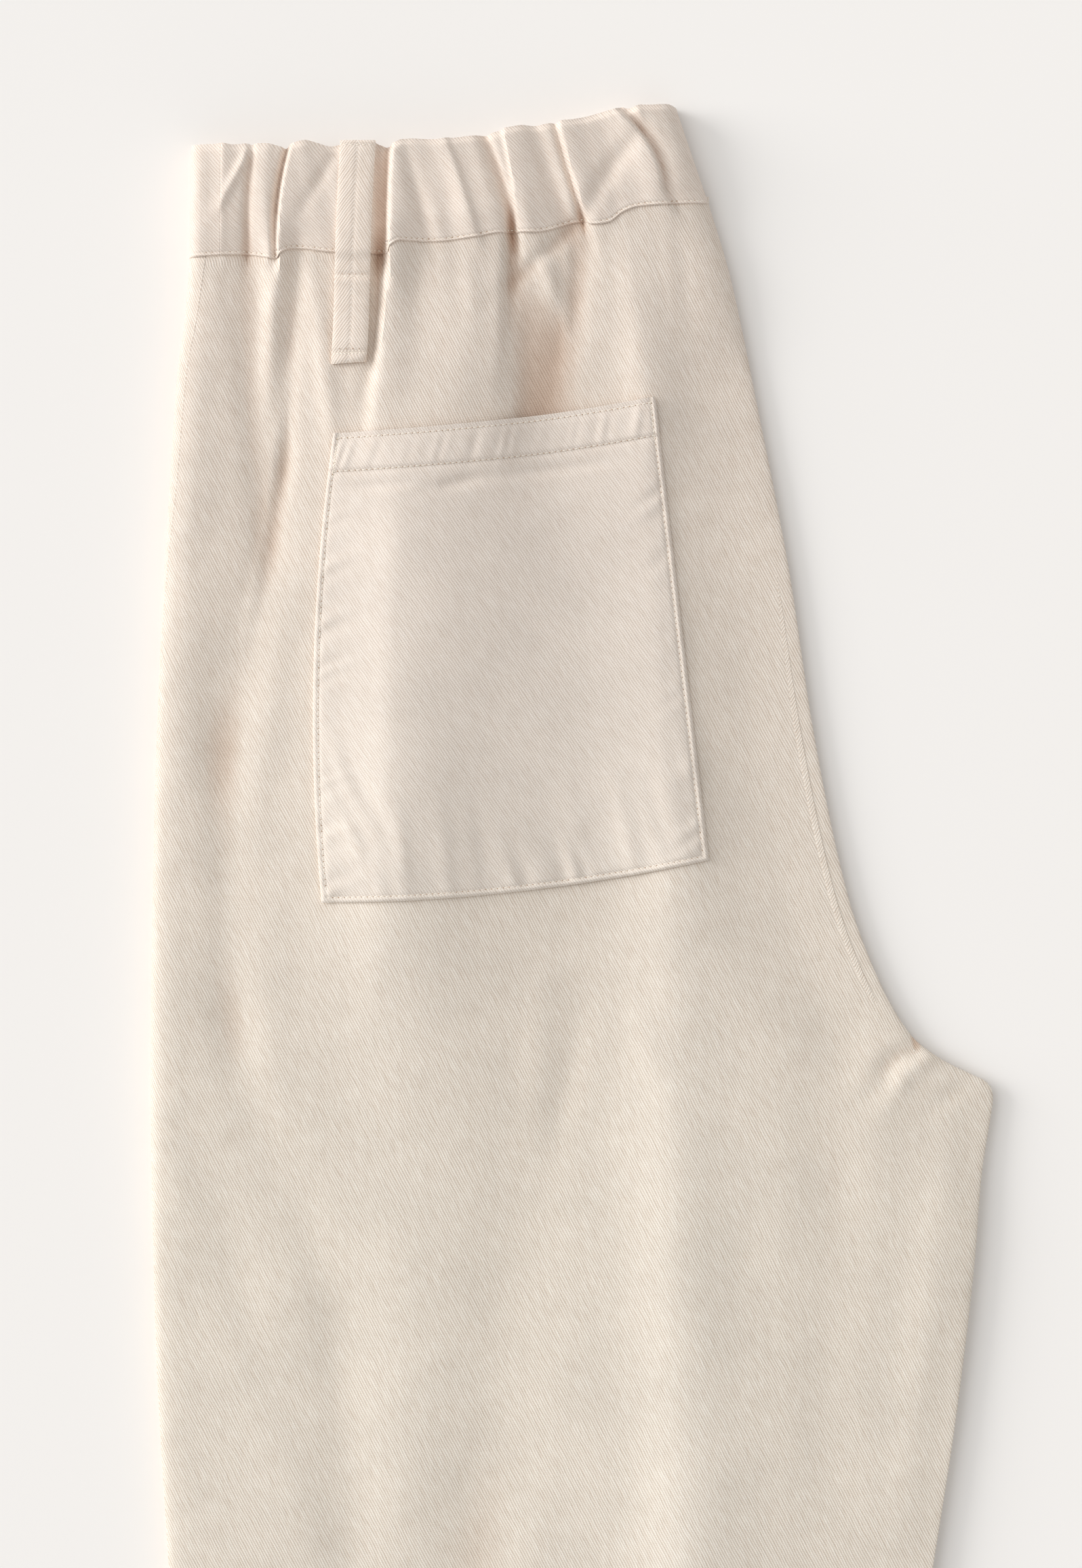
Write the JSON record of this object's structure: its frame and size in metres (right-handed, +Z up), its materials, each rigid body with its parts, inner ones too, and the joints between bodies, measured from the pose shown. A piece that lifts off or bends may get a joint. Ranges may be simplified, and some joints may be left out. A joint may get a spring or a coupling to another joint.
{
  "type": "tapered trousers",
  "caption": "Tapered cotton twill trousers with an elasticated back waistband, folded in half down the middle and laid flat, back patch pocket and belt loop on top.",
  "frame": {"origin": "centre of the folded garment's bounding box, on the surface it lies on", "axes": "+Y from the hems to the waist, +X from the outseam fold to the centre back and inseam edge, +Z up from the surface"},
  "size_m": [0.3231, 1.0099, 0.0238],
  "materials": {
    "panel_twill": "cream cotton twill, washed, matt with a soft nap",
    "band_twill": "cream cotton twill cut across the grain and gathered on elastic",
    "pocket_twill": "cream cotton twill, washed, matt",
    "loop_twill": "cream cotton twill folded into a strap",
    "hidden_twill": "cream cotton twill, the folded layers underneath"
  },
  "bodies": {
    "root": {"back_left": "panel_twill", "front_left": "panel_twill", "hidden_leg_layers": "hidden_twill", "waistband_back_left": "band_twill", "waistband_front_left": "band_twill", "hidden_waistband_layers": "hidden_twill", "back_pocket": "pocket_twill", "belt_loop": "loop_twill"}
  },
  "joints": []
}
